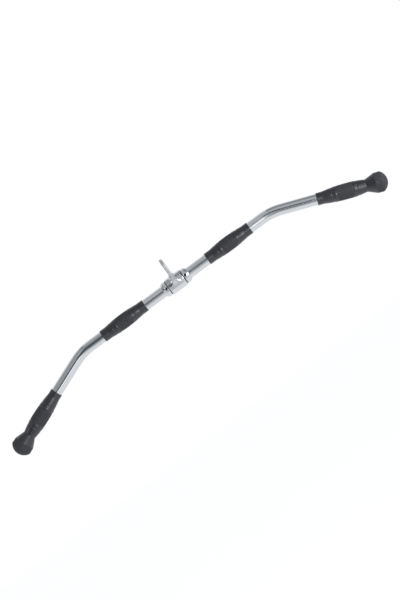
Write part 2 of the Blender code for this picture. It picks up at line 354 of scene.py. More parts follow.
def gradient(distance, points, reach):
    """Unit directions in which a distance grows fastest."""
    slopes = []
    for axis in range(3):
        step = np.zeros(3)
        step[axis] = reach
        slopes.append(distance(points + step) - distance(points - step))
    slopes = np.stack(slopes, axis=-1)
    return slopes / np.maximum(np.linalg.norm(slopes, axis=1, keepdims=True), 1e-12)


def drawn_to_surface(distance, points, reach, pulls):
    """Points moved to where the distance is zero."""
    for _ in range(pulls):
        slopes = gradient(distance, points, reach)
        points = points - slopes * distance(points)[:, None]
    return points


def surface_from_distance(name, distance, low, high, step):
    """Mesh the surface where a distance is zero, with about one face for each step."""
    axes = [np.arange(a - 2 * step, b + 3 * step, step) for a, b in zip(low, high)]
    grid = np.stack(np.meshgrid(*axes, indexing="ij"), axis=-1)
    inside = distance(grid.reshape(-1, 3)).reshape(grid.shape[:3]) < 0
    corners = np.zeros(tuple(n - 1 for n in inside.shape), int)
    for i in (0, 1):
        for j in (0, 1):
            for k in (0, 1):
                corners += inside[i : i - 1 or None, j : j - 1 or None, k : k - 1 or None]
    mixed = (corners > 0) & (corners < 8)
    numbers = np.full(mixed.shape, -1)
    numbers[mixed] = np.arange(mixed.sum())
    cells = np.argwhere(mixed)
    points = np.array([axis[0] for axis in axes]) + (cells + 0.5) * step

    faces = []
    for axis in range(3):
        second, third = (axis + 1) % 3, (axis + 2) % 3
        this_way = np.moveaxis(inside, (axis, second, third), (0, 1, 2))
        here = this_way[:-1, 1:-1, 1:-1]
        there = this_way[1:, 1:-1, 1:-1]
        cell = np.moveaxis(numbers, (axis, second, third), (0, 1, 2))
        ring = np.stack(
            [cell[:, :-1, :-1], cell[:, 1:, :-1], cell[:, 1:, 1:], cell[:, :-1, 1:]], axis=-1
        )
        faces.append(ring[here & ~there])
        faces.append(ring[there & ~here][:, ::-1])
    faces = np.concatenate(faces)

    reach = step * SLOPE_REACH
    points = drawn_to_surface(distance, points, reach, FIRST_PULLS)
    for _ in range(EVENINGS):
        total = np.zeros_like(points)
        count = np.zeros(len(points))
        for corner in range(4):
            neighbour = faces[:, (corner + 1) % 4]
            np.add.at(total, faces[:, corner], points[neighbour])
            np.add.at(count, faces[:, corner], 1)
            np.add.at(total, neighbour, points[faces[:, corner]])
            np.add.at(count, neighbour, 1)
        points = points * 0.5 + total / count[:, None] * 0.5
        points = drawn_to_surface(distance, points, reach, LATER_PULLS)
    return make_object(name, points, faces, MESHED_SHARP)


def bent(distance):
    """X and Z of the centre line at a distance from the hub along the bar, and its tilt."""
    side = 1 if distance >= 0 else -1
    straight = HALF_SPAN - BEND_RADIUS * math.tan(BEND_ANGLE / 2)
    past = abs(distance) - straight
    if past <= 0:
        return distance, 0.0, 0.0
    tilt = min(past / BEND_RADIUS, BEND_ANGLE)
    arm = past - tilt * BEND_RADIUS
    x = straight + BEND_RADIUS * math.sin(tilt) + arm * math.cos(tilt)
    z = -BEND_RADIUS * (1 - math.cos(tilt)) - arm * math.sin(tilt)
    return side * x, z, side * tilt


def make_tube():
    """The tube, swept along its centre line as rings of points."""
    straight = HALF_SPAN - BEND_RADIUS * math.tan(BEND_ANGLE / 2)
    arm = ARM_LENGTH - BEND_RADIUS * math.tan(BEND_ANGLE / 2)
    bend = BEND_RADIUS * BEND_ANGLE
    half = straight + bend + arm
    right = list(np.linspace(0, straight, round(straight / TUBE_STEP)))
    right += list(np.linspace(straight, straight + bend, BEND_STEPS + 1))[1:]
    right += list(np.linspace(straight + bend, half - TUBE_EDGE, round(arm / TUBE_STEP)))[1:]
    stations = [-d for d in reversed(right[1:])] + right
    inner = TUBE_RADIUS - TUBE_WALL
    soft = TUBE_EDGE
    rings = [(d, TUBE_RADIUS) for d in stations]
    rings += [(half, TUBE_RADIUS - soft), (half, inner + soft), (half - soft, inner)]
    rings += [(d, inner) for d in reversed(stations)]
    rings += [(-half, inner + soft), (-half, TUBE_RADIUS - soft)]

    angles = np.arange(ROUND_SEGMENTS) * 2 * math.pi / ROUND_SEGMENTS
    vertices = []
    unbent = []
    for distance, radius in rings:
        x, z, tilt = bent(distance)
        for angle in angles:
            y = radius * math.sin(angle)
            height = radius * math.cos(angle)
            vertices.append((x + height * math.sin(tilt), y, z + height * math.cos(tilt)))
            unbent.extend((distance, y, height))
    numbers = np.arange(len(vertices)).reshape(len(rings), ROUND_SEGMENTS)
    around = np.roll(numbers, -1, axis=1)
    faces = []
    for row in range(len(rings)):
        ahead = (row + 1) % len(rings)
        faces.extend(zip(numbers[row], around[row], around[ahead], numbers[ahead]))
    tube = make_object("bent_tube", vertices, faces)
    set_down(tube, Matrix.Translation(HUB_CENTRE), unbent)
    weigh_normals(tube)
    return tube


def ridge_rise(points):
    """How far the plate's foot lifts the sleeve's surface at its front and its back."""
    angles = np.arctan2(points[:, 2], np.abs(points[:, 1]))
    share = np.clip(np.abs(points[:, 0]) / (SLEEVE_LENGTH / 2), 0, 1)
    return EYE_BASE_RISE * (1 - share**3) ** 2 * between(angles, RIDGE_LOW, RIDGE_HIGH, RIDGE_FADE)


def housing_distance(points):
    """A sleeve with an eye plate standing on it, cast in one, then bored and drilled."""
    half = SLEEVE_LENGTH / 2
    radius = SLEEVE_RADIUS + ridge_rise(points)
    sleeve = cylinder_distance(points, radius, half, SLEEVE_EDGE)
    foot_centre = EYE_BASE_RISE + 2 * FIT_GAP
    outline = pear_distance(
        points[:, 1],
        points[:, 2] - foot_centre,
        SLEEVE_RADIUS + EYE_BASE_RISE,
        EYE_HOLE_RADIUS + EYE_RIM,
        EYE_HEIGHT - foot_centre,
    )
    plain_sleeve = cylinder_distance(points, SLEEVE_RADIUS, half, SLEEVE_EDGE)
    ground_off = np.minimum(outline, plain_sleeve)
    outline = np.maximum(outline, EYE_FOOT - points[:, 2])
    hole = EYE_HOLE_RADIUS - np.hypot(points[:, 1], points[:, 2] - EYE_HEIGHT)
    thickness = np.abs(points[:, 0]) - EYE_THICKNESS / 2
    plate = shared(shared(outline, hole, EYE_EDGE), thickness, EYE_EDGE)
    casting = shared(joined(sleeve, plate, EYE_FILLET), ground_off, FOOT_EDGE)
    bore = SLEEVE_BORE - np.hypot(points[:, 1], points[:, 2])
    casting = shared(casting, bore, SLEEVE_BORE_EDGE)
    for side in SIDES.values():
        drilled = radial_hole_distance(points, side * (half - BUSH_SCREW_INSET), BUSH_SCREW_ANGLE)
        casting = shared(casting, -drilled, SCREW_HOLE_EDGE)
    return casting


def make_housing():
    half = SLEEVE_LENGTH / 2
    deep = SLEEVE_RADIUS + EYE_BASE_RISE
    low = (-half, -deep, -SLEEVE_RADIUS)
    high = (half, deep, EYE_HEIGHT + EYE_HOLE_RADIUS + EYE_RIM)
    housing = surface_from_distance("hub_casting", housing_distance, low, high, CASTING_STEP)
    set_down(housing, Matrix.Translation(HUB_CENTRE))
    return housing


def make_bush(side_name, side):
    outline = rounded(
        [
            (BUSH_FLANGE_RADIUS, BUSH_FLANGE_WIDTH, BUSH_EDGE),
            (BUSH_FLANGE_RADIUS, 0, BUSH_EDGE),
            (BUSH_RADIUS, 0, 0),
            (BUSH_RADIUS, -BUSH_LENGTH, BUSH_EDGE),
            (BORE_RADIUS, -BUSH_LENGTH, BUSH_EDGE),
            (BORE_RADIUS, BUSH_FLANGE_WIDTH, BUSH_EDGE),
        ]
    )
    bush = turned("flanged_bush_" + side_name, outline)
    set_down(bush, along_bar(side, SLEEVE_LENGTH / 2 + FIT_GAP))
    return bush


def collar_distance(points, side):
    """A collar on the straight middle, on one side of the hub, with a tapered outer edge."""
    along = side * points[:, 0] - COLLAR_START
    across = np.hypot(points[:, 1], points[:, 2])
    fall = COLLAR_RADIUS - COLLAR_NOSE_RADIUS
    slope = math.hypot(fall, COLLAR_TAPER)
    past = along - COLLAR_WIDTH
    taper = (across - COLLAR_NOSE_RADIUS) * COLLAR_TAPER / slope + past * fall / slope
    ring = shared(across - COLLAR_RADIUS, -along, COLLAR_EDGE)
    ring = shared(ring, taper, COLLAR_EDGE)
    ring = shared(ring, past, COLLAR_EDGE / 2)
    ring = shared(ring, BORE_RADIUS - across, COLLAR_BORE_EDGE)
    place = side * (COLLAR_START + COLLAR_SCREW_INSET)
    drilled = radial_hole_distance(points, place, COLLAR_SCREW_ANGLE)
    return shared(ring, -drilled, SCREW_HOLE_EDGE)


def make_collar(side_name, side):
    ends = sorted((side * COLLAR_START, side * (COLLAR_START + COLLAR_WIDTH)))
    collar = surface_from_distance(
        "shaft_collar_" + side_name,
        lambda points: collar_distance(points, side),
        (ends[0], -COLLAR_RADIUS, -COLLAR_RADIUS),
        (ends[1], COLLAR_RADIUS, COLLAR_RADIUS),
        COLLAR_STEP,
    )
    set_down(collar, Matrix.Translation(HUB_CENTRE))
    return collar


def screw_distance(points, length):
    """A set screw about local X with a hex socket in its far end, at length / 2."""
    body = cylinder_distance(points, SCREW_RADIUS, length / 2, SCREW_EDGE)
    socket = np.full(len(points), -np.inf)
    for turn in range(3):
        angle = turn * math.pi / 3
        across = points[:, 1] * math.cos(angle) + points[:, 2] * math.sin(angle)
        socket = np.maximum(socket, np.abs(across) - SOCKET_FLATS / 2)
    socket = np.maximum(socket, length / 2 - SOCKET_DEPTH - points[:, 0])
    return shared(body, -socket, SCREW_EDGE / 4)


def make_screw(name, place, angle, inner, outer):
    """A set screw at a place along the bar, between two distances from its centre line."""
    length = outer - inner
    screw = surface_from_distance(
        name,
        lambda points: screw_distance(points, length),
        (-length / 2, -SCREW_RADIUS, -SCREW_RADIUS),
        (length / 2, SCREW_RADIUS, SCREW_RADIUS),
        SCREW_STEP,
    )
    out = Vector((0, -math.cos(angle), math.sin(angle)))
    turn = out.to_track_quat("X", "Z").to_matrix().to_4x4()
    centre = HUB_CENTRE + Vector((place, 0, 0)) + out * (inner + outer) / 2
    set_down(screw, Matrix.Translation(centre) @ turn)
    return screw


def swell(places, edge, full):
    """Radii that rise on a parabola from a (place, radius) edge to a full (place, radius)."""
    share = np.clip((places - edge[0]) / (full[0] - edge[0]), 0, 1)
    return full[1] + (edge[1] - full[1]) * (1 - share) ** 2


def bump(places, centre, width):
    """1 at the centre, falling smoothly to 0 at half the width each side."""
    share = np.clip(np.abs(places - centre) / (width / 2), 0, 1)
    return 0.5 + 0.5 * np.cos(math.pi * share)


def between(places, start, end, soft):
    """1 from start to end, falling smoothly to 0 over soft on each side."""
    rise = np.clip((places - start) / soft, 0, 1)
    fall = np.clip((end - places) / soft, 0, 1)
    share = np.minimum(rise, fall)
    return share * share * (3 - 2 * share)


def banded(places, radii, bands, dips, panel):
    """Add the raised bands, their grooves and dips and the sunk panel to a grip's radii."""
    radii = radii.copy()
    start, end = panel
    radii -= PANEL_SINK * between(places, start, end, GROOVE_WIDTH)
    for band, towards_panel in bands:
        groove = band + towards_panel * (BAND_WIDTH + GROOVE_WIDTH) / 2
        radii += BAND_RISE * bump(places, band, BAND_WIDTH)
        radii -= GROOVE_DEPTH * bump(places, groove, GROOVE_WIDTH)
    for dip in dips:
        radii -= DIP_DEPTH * bump(places, dip, DIP_WIDTH)
    return radii


def pebbles(places, panel):
    """Relief of the panel's pebbles: a row for each place and a column for each segment."""
    angles = np.arange(GRIP_SEGMENTS) * 2 * math.pi / GRIP_SEGMENTS
    around = PEBBLES_AROUND * angles
    along = 2 * math.pi * (places[:, None] - panel[0]) / PEBBLE_PITCH
    pattern = np.cos(along + around) + np.cos(along - around)
    weight = between(places, panel[0], panel[1], PEBBLE_PITCH)
    return PEBBLE_RISE * weight[:, None] * pattern / 2


def make_grip(name, places, radii, panel, inner):
    """A turned grip: its outer side by place, then the points of its inner side."""
    outer = np.stack([radii, places], axis=-1)[::-1]
    outline = np.concatenate([outer, inner])
    relief = np.zeros((len(outline), GRIP_SEGMENTS))
    relief[: len(places)] = pebbles(places, panel)[::-1]
    return turned(name, outline, GRIP_SEGMENTS, relief)


def open_edge(places, radii, end, towards):
    """Round the outer edge of a cuff's open end."""
    inward = np.clip(GRIP_EDGE - towards * (places - end), 0, GRIP_EDGE)
    return radii - (GRIP_EDGE - np.sqrt(np.maximum(GRIP_EDGE**2 - inward**2, 0)))


def grip_places(start, end):
    """Places along a grip, close together at its rounded ends."""
    fine = GRIP_EDGE * (1 - np.cos(np.linspace(0, math.pi / 2, CORNER_STEPS + 1)))
    body = np.linspace(start + GRIP_EDGE, end - GRIP_EDGE, round((end - start) / GRIP_STEP))
    return np.concatenate([start + fine[:-1], body, (end - fine[:-1])[::-1]])


def colour_panels(grip, panels):
    """Give the faces whose middle lies in a panel the grip's second material."""
    for face in grip.data.polygons:
        if any(start < face.center.z < end for start, end in panels):
            face.material_index = 1


def make_mid_grip(side_name, side):
    half = MID_GRIP_LENGTH / 2
    places = grip_places(0, MID_GRIP_LENGTH)
    from_end = np.minimum(places, MID_GRIP_LENGTH - places)
    full = CUFF_RADIUS + MID_GRIP_SWELL
    radii = swell(from_end, (MID_CUFF_LENGTH, CUFF_RADIUS), (half, full))
    bands = [(MID_BAND, 1), (MID_GRIP_LENGTH - MID_BAND, -1)]
    dips = [MID_DIP, MID_GRIP_LENGTH - MID_DIP]
    inset = MID_BAND + BAND_WIDTH / 2 + GROOVE_WIDTH
    panel = (inset, MID_GRIP_LENGTH - inset)
    radii = banded(places, radii, bands, dips, panel)
    radii = open_edge(places, radii, 0, 1)
    radii = open_edge(places, radii, MID_GRIP_LENGTH, -1)
    lip = LIP_ROUNDING
    inner = [
        (BORE_RADIUS + lip, 0),
        (BORE_RADIUS, lip),
        (BORE_RADIUS, MID_GRIP_LENGTH - lip),
        (BORE_RADIUS + lip, MID_GRIP_LENGTH),
    ]
    grip = make_grip("barrel_grip_" + side_name, places, radii, panel, inner)
    colour_panels(grip, [panel])
    set_down(grip, along_bar(side, MID_GRIP_CENTRE - half))
    return grip


def make_end_grip(side_name, side):
    full = CUFF_RADIUS + END_GRIP_SWELL
    barrel = grip_places(0, 2 * NECK_PLACE)
    barrel = barrel[barrel < NECK_PLACE]
    rise = swell(barrel, (END_CUFF_LENGTH, CUFF_RADIUS), (END_GRIP_FULL_START, full))
    fall = swell(barrel, (NECK_PLACE, NECK_RADIUS), (END_GRIP_FULL_END, full))
    radii = np.minimum(rise, fall)
    bands = [(END_BANDS[0], 1), (END_BANDS[1], -1)]
    inset = BAND_WIDTH / 2 + GROOVE_WIDTH
    panel = (END_BANDS[0] + inset, END_BANDS[1] - inset)
    radii = banded(barrel, radii, bands, END_DIPS, panel)
    radii = open_edge(barrel, radii, 0, 1)

    dome_centre = END_GRIP_LENGTH - DOME_RADIUS
    dome_edge = math.asin(KNOB_RADIUS / DOME_RADIUS)
    shoulder = NECK_PLACE + KNOB_FLARE_LENGTH
    rim = dome_centre + DOME_RADIUS * math.cos(dome_edge)
    flare = rounded(
        [
            (NECK_PLACE, NECK_RADIUS, 0),
            (shoulder, KNOB_SHOULDER_RADIUS, KNOB_SHOULDER_ROUNDING),
            (rim, KNOB_RADIUS, 0),
        ],
        closed=False,
    )
    dome = arc((dome_centre, 0), DOME_RADIUS, dome_edge, 0, DOME_STEPS)
    knob = np.array(flare[:-1] + dome)
    places = np.concatenate([barrel, knob[:, 0]])
    radii = np.concatenate([radii, knob[:, 1]])
    radii[-1] = 0
    blind_end = END_GRIP_LENGTH - KNOB_CAP
    lip = LIP_ROUNDING
    inner = [(BORE_RADIUS + lip, 0), (BORE_RADIUS, lip), (BORE_RADIUS, blind_end), (0, blind_end)]
    grip = make_grip("knobbed_grip_" + side_name, places, radii, panel, inner)
    colour_panels(grip, [panel, (shoulder, END_GRIP_LENGTH)])
    set_down(grip, along_arm(side, ARM_LENGTH + PLUG_HEAD_WIDTH + 2 * FIT_GAP - blind_end))
    return grip


class Nodes:
    """Short calls for a node tree."""

    def __init__(self, tree):
        self.tree = tree

    def add(self, kind, inputs=(), **settings):
        """A node with its settings. Each input is set to a value or linked to an output."""
        node = self.tree.nodes.new(kind)
        for name, value in settings.items():
            setattr(node, name, value)
        for name, value in dict(inputs).items():
            self.give(node.inputs[name], value)
        return node

    def give(self, socket, value):
        if isinstance(value, bpy.types.NodeSocket):
            self.tree.links.new(value, socket)
        else:
            socket.default_value = value

    def noise(self, place, scale, detail=2.0, roughness=0.5):
        inputs = {"Vector": place, "Scale": scale, "Detail": detail, "Roughness": roughness}
        return self.add("ShaderNodeTexNoise", inputs).outputs["Fac"]

    def math(self, operation, *values):
        node = self.add("ShaderNodeMath", operation=operation)
        for socket, value in zip(node.inputs, values):
            self.give(socket, value)
        return node.outputs[0]

    def scaled(self, value, span, to_span, smooth=False):
        """A value moved from one (low, high) span to another, and kept within it."""
        inputs = {
            "Value": value,
            "From Min": span[0],
            "From Max": span[1],
            "To Min": to_span[0],
            "To Max": to_span[1],
        }
        kind = "SMOOTHSTEP" if smooth else "LINEAR"
        node = self.add("ShaderNodeMapRange", inputs, interpolation_type=kind)
        return node.outputs["Result"]

    def mix(self, share, first, second):
        """A colour between two colours. This node has its colours at numbered sockets."""
        node = self.add("ShaderNodeMix", data_type="RGBA")
        self.give(node.inputs["Factor"], share)
        self.give(node.inputs[6], first)
        self.give(node.inputs[7], second)
        return node.outputs[2]

    def stretched(self, place, scale):
        inputs = {"Vector": place, "Scale": scale}
        return self.add("ShaderNodeMapping", inputs).outputs["Vector"]

    def bump(self, height, strength, depth, normal=None):
        inputs = {"Height": height, "Strength": strength, "Distance": depth}
        if normal is not None:
            inputs["Normal"] = normal
        return self.add("ShaderNodeBump", inputs).outputs["Normal"]


# Two tints of each finish, darker one first
CHROME_TINTS = ((0.56, 0.58, 0.605, 1), (0.63, 0.64, 0.655, 1))
CAST_TINTS = ((0.55, 0.57, 0.60, 1), (0.66, 0.67, 0.69, 1))
# the ground face goes between these by its grinding marks and by painted light and shade by height
GROUND_TINTS = ((0.385, 0.395, 0.41, 1), (0.62, 0.63, 0.645, 1))
OXIDE_TINTS = ((0.035, 0.035, 0.04, 1), (0.16, 0.16, 0.165, 1))
BUSH_TINTS = ((0.02, 0.022, 0.025, 1), (0.04, 0.045, 0.05, 1))
PLUG_TINTS = ((0.014, 0.014, 0.014, 1), (0.03, 0.03, 0.03, 1))
SMOOTH_RUBBER_TINTS = ((0.005, 0.006, 0.010, 1), (0.009, 0.011, 0.018, 1))
MATT_RUBBER_TINTS = ((0.024, 0.0255, 0.030, 1), (0.036, 0.0385, 0.045, 1))
DUST_TINT = (0.035, 0.037, 0.041, 1)  # the specks on the rubber

# How closely marks lie along each axis of a piece
POLISH_LINES = (1400, 30, 30)
GRINDING_MARKS = (700, 700, 16)


def start_material(name, metallic, own_place=True):
    """A material, its nodes, its shader and the place on the piece, in metres."""
    material = bpy.data.materials.new(name)
    material.use_nodes = True
    nodes = Nodes(material.node_tree)
    shader = material.node_tree.nodes["Principled BSDF"]
    shader.inputs["Metallic"].default_value = metallic
    if own_place:
        place = nodes.add("ShaderNodeAttribute", attribute_name="own_place").outputs["Vector"]
    else:
        place = nodes.add("ShaderNodeTexCoord").outputs["Object"]
    return material, nodes, shader, place


def make_chrome(name):
    """Bright plate: polish lines round the part, faint smears and a slight waviness."""
    material, nodes, shader, place = start_material(name, 1.0)
    smears = nodes.noise(place, scale=26, detail=4, roughness=0.6)
    polish = nodes.noise(nodes.stretched(place, POLISH_LINES), scale=1.0)
    waves = nodes.noise(place, scale=70)
    nodes.give(shader.inputs["Base Color"], nodes.mix(smears, *CHROME_TINTS))
    haze = nodes.scaled(smears, (0.35, 0.75), (0.05, 0.09))
    grain = nodes.scaled(polish, (0.3, 0.8), (-0.01, 0.02))
    nodes.give(shader.inputs["Roughness"], nodes.math("ADD", haze, grain))
    normal = nodes.bump(waves, strength=0.16, depth=0.0004)
    normal = nodes.bump(polish, strength=0.05, depth=0.00005, normal=normal)
    nodes.give(shader.inputs["Normal"], normal)
    return material


# The eye plate is ground, not polished, and the ground face runs on down its foot. It widens
# below SATIN_TOP, to twice its width at SATIN_REACH further down, and fades out over
# SATIN_LOW. Its tint is painted paler upwards over SATIN_PAINTED_LIGHT: painted shade low down,
# where the key lamp's highlight falls, and painted light up the stem. Heights are above the bar's
# centre line
SATIN_HALF_WIDTH = 0.0075
SATIN_SOFT = (0.85, 1.05)  # shares of the half width over which its sides fade out
SATIN_TOP = 0.022
SATIN_REACH = 0.0276
SATIN_LOW = (-0.0135, -0.0105)
# painted light and shade: the ground face's tint is darker low down and paler up the stem
SATIN_PAINTED_LIGHT = (-0.008, 0.030)
SATIN_HAZE = 0.42  # how much rougher it is than the cast face


def satin_share(nodes, place):
    """1 on the ground face of the eye plate and its foot, 0 on the rest of the casting; then the
    painted light that makes the ground face's tint paler higher up.
    """
    split = nodes.add("ShaderNodeSeparateXYZ", {"Vector": place}).outputs
    fall = nodes.math("MAXIMUM", nodes.math("SUBTRACT", SATIN_TOP, split["Z"]), 0.0)
    spread = nodes.math("POWER", nodes.math("DIVIDE", fall, SATIN_REACH), 4.0)
    width = nodes.math("MULTIPLY_ADD", spread, SATIN_HALF_WIDTH, SATIN_HALF_WIDTH)
    aside = nodes.math("DIVIDE", nodes.math("ABSOLUTE", split["X"]), width)
    within = nodes.scaled(aside, SATIN_SOFT, (1.0, 0.0), smooth=True)
    above = nodes.scaled(split["Z"], SATIN_LOW, (0.0, 1.0), smooth=True)
    # painted light: the tint is paler higher up, with painted shade low down where the key lamp's
    # highlight falls
    painted_light = nodes.scaled(split["Z"], SATIN_PAINTED_LIGHT, (0.0, 0.5))
    return nodes.math("MULTIPLY", within, above), painted_light


def make_cast_chrome():
    """Plate over a buffed casting. The eye plate keeps the upright marks of its grinding, and its
    tint is painted paler higher up as painted light and shade.
    """
    material, nodes, shader, place = start_material("cast_chrome", 1.0)
    cloud = nodes.noise(place, scale=60, detail=4, roughness=0.6)
    skin = nodes.noise(place, scale=420, detail=3, roughness=0.55)
    dents = nodes.noise(place, scale=130)
    marks = nodes.noise(nodes.stretched(place, GRINDING_MARKS), scale=1.0)
    satin, painted_light = satin_share(nodes, place)
    tint = nodes.mix(cloud, *CAST_TINTS)
    # the ground face's tint follows its grinding marks and the painted light, paler up the stem
    ground = nodes.mix(nodes.math("MULTIPLY_ADD", marks, 0.5, painted_light), *GROUND_TINTS)
    nodes.give(shader.inputs["Base Color"], nodes.mix(satin, tint, ground))
    haze = nodes.scaled(cloud, (0.3, 0.75), (0.07, 0.12))
    haze = nodes.math("ADD", haze, nodes.math("MULTIPLY", satin, SATIN_HAZE))
    nodes.give(shader.inputs["Roughness"], haze)
    plain = nodes.math("SUBTRACT", 1.0, satin)
    marks = nodes.math("MULTIPLY", marks, satin)
    dents = nodes.math("MULTIPLY", dents, plain)
    skin = nodes.math("MULTIPLY", skin, plain)
    normal = nodes.bump(marks, strength=0.06, depth=0.0002)
    normal = nodes.bump(dents, strength=0.12, depth=0.0006, normal=normal)
    normal = nodes.bump(skin, strength=0.10, depth=0.00015, normal=normal)
    nodes.give(shader.inputs["Normal"], normal)
    return material


def make_black_steel():
    """Black oxide, rubbed bright in places."""
    material, nodes, shader, place = start_material("black_steel", 1.0)
    wear = nodes.noise(place, scale=500, detail=4, roughness=0.65)
    rubbed = nodes.scaled(wear, (0.5, 0.72), (0.0, 1.0))
    nodes.give(shader.inputs["Base Color"], nodes.mix(rubbed, *OXIDE_TINTS))
    nodes.give(shader.inputs["Roughness"], nodes.scaled(wear, (0.3, 0.8), (0.42, 0.28)))
    nodes.give(shader.inputs["Normal"], nodes.bump(wear, strength=0.2, depth=0.0001))
    return material


def make_plastic(name, tints, roughness, own_place=True):
    """Moulded plastic with a fine matt skin."""
    material, nodes, shader, place = start_material(name, 0.0, own_place)
    cloud = nodes.noise(place, scale=90, detail=3)
    skin = nodes.noise(place, scale=2200)
    nodes.give(shader.inputs["Base Color"], nodes.mix(cloud, *tints))
    nodes.give(shader.inputs["Roughness"], nodes.scaled(cloud, (0.3, 0.7), roughness))
    nodes.give(shader.inputs["Normal"], nodes.bump(skin, strength=0.15, depth=0.0001))
    return material


def make_rubber(name, tints, roughness, specular, skin_scale, skin_depth):
    """Charcoal moulded rubber: a faint bloom, specks of dust and a fine skin."""
    material, nodes, shader, place = start_material(name, 0.0)
    bloom = nodes.noise(place, scale=34, detail=5, roughness=0.65)
    specks = nodes.noise(place, scale=900, detail=3, roughness=0.7)
    skin = nodes.noise(place, skin_scale, detail=3, roughness=0.6)
    dust = nodes.scaled(specks, (0.6, 0.8), (0.0, 0.5))
    tint = nodes.mix(dust, nodes.mix(bloom, *tints), DUST_TINT)
    nodes.give(shader.inputs["Base Color"], tint)
    nodes.give(shader.inputs["Roughness"], nodes.scaled(bloom, (0.3, 0.7), roughness))
    shader.inputs["Specular IOR Level"].default_value = specular
    nodes.give(shader.inputs["Normal"], nodes.bump(skin, strength=0.35, depth=skin_depth))
    return material


def emptied(owner):
    """The nodes of a new material or world, without the ones that it comes with."""
    owner.use_nodes = True
    owner.node_tree.nodes.clear()
    return Nodes(owner.node_tree)


FLOOR_DROP = 0.95  # below the lowest point of the object
FLOOR_FRONT = -0.8
FLOOR_REACH = 14.0
FLOOR_TINT = (0.8, 0.8, 0.8, 1)
FLOOR_GLOW = 0.50


def make_floor(level):
    """A pale floor: white to the camera and in reflections, but it still takes a shadow."""
    corners = [
        (-FLOOR_REACH, FLOOR_FRONT, level),
        (FLOOR_REACH, FLOOR_FRONT, level),
        (FLOOR_REACH, FLOOR_REACH, level),
        (-FLOOR_REACH, FLOOR_REACH, level),
    ]
    floor = make_object("floor", corners, [(0, 1, 2, 3)])
    material = bpy.data.materials.new("floor")
    nodes = emptied(material)
    path = nodes.add("ShaderNodeLightPath").outputs
    seen = nodes.math("ADD", path["Is Camera Ray"], path["Is Glossy Ray"])
    seen = nodes.math("ADD", seen, path["Is Transmission Ray"])
    matt = nodes.add("ShaderNodeBsdfDiffuse", {"Color": FLOOR_TINT})
    strength = nodes.math("MULTIPLY", seen, FLOOR_GLOW)
    glow = nodes.add("ShaderNodeEmission", {"Strength": strength})
    both = nodes.add("ShaderNodeAddShader")
    nodes.give(both.inputs[0], matt.outputs[0])
    nodes.give(both.inputs[1], glow.outputs[0])
    output = nodes.add("ShaderNodeOutputMaterial")
    nodes.give(output.inputs["Surface"], both.outputs[0])
    floor.data.materials.append(material)


# Brightness of the studio: a row for each angle round the bar's middle, in degrees, and a
# level for each of its parts. 0 is straight at the camera, 90 overhead, 180 behind the bar
# and -90 below it
STUDIO_PARTS = ("room", "front", "stand", "panel", "screen", "strip", "leg", "wall", "side")
STUDIO_LEVELS = [
    (-180, 1.04, 1.04, 1.06, 1.06, 1.06, 1.06, 1.06, 1.04, 1.04),
    (-84, 1.07, 1.07, 1.04, 1.04, 1.04, 1.04, 1.04, 1.02, 1.02),
    (-64, 1.02, 1.02, 0.93, 0.93, 0.98, 1.02, 1.02, 0.90, 0.95),
    (-47, 0.90, 1.00, 0.68, 0.85, 0.85, 0.98, 0.98, 0.78, 0.85),
    (-31, 0.82, 1.10, 0.54, 0.73, 0.73, 1.06, 1.10, 0.70, 0.80),
    (-24, 0.80, 2.00, 0.38, 0.64, 0.64, 1.60, 1.35, 0.66, 0.80),
    (-14, 0.80, 4.00, 0.20, 0.46, 0.44, 2.60, 1.25, 0.58, 0.85),
    (-3, 0.80, 4.00, 0.12, 0.26, 0.28, 1.20, 0.12, 0.18, 0.82),
    (5, 0.80, 1.20, 0.10, 0.18, 0.20, 1.00, 0.08, 0.16, 0.82),
    (14, 0.66, 0.65, 0.11, 0.26, 0.22, 0.80, 0.09, 0.18, 0.78),
    (23, 0.58, 0.60, 0.17, 0.52, 0.35, 0.65, 0.34, 0.26, 0.55),
    (31, 0.58, 0.58, 0.24, 0.78, 0.46, 0.58, 0.50, 0.38, 0.26),
    (47, 0.66, 0.70, 0.42, 0.86, 0.62, 0.72, 0.66, 0.54, 0.14),
    (64, 0.50, 0.49, 0.48, 0.64, 0.60, 0.68, 0.60, 0.42, 0.14),
    (84, 0.30, 0.34, 0.56, 0.59, 0.61, 0.63, 0.63, 0.43, 0.30),
    (106, 0.32, 0.40, 0.80, 0.80, 0.83, 0.85, 0.85, 0.70, 0.60),
    (138, 1.03, 1.03, 1.08, 1.08, 1.08, 1.08, 1.08, 1.00, 1.00),
    (180, 1.04, 1.04, 1.06, 1.06, 1.06, 1.06, 1.06, 1.04, 1.04),
]
# Edges of the parts, as the sideways share of a direction. From the left they are the room's
# side, a dark wall, the camera's stand, a pale panel, a screen, a narrow strip lamp and the
# stand's leg. The room's bright front lies behind the last five
SIDE_EDGE = -0.66
WALL_EDGE = -0.22
WALL_SOFT = 0.07
STAND_SIDES = (-0.185, -0.062)
PANEL_SIDES = (-0.062, -0.045)
SCREEN_SIDES = (-0.045, -0.002)
STRIP_SIDES = (-0.002, 0.009)
LEG_SIDES = (0.009, 0.13)
STAND_SOFT = 0.006
FRONT_SIDES = (-0.16, 0.40)
FRONT_SOFT = 0.05
STUDIO_COLD = 0.018  # how much more blue and less red it all is


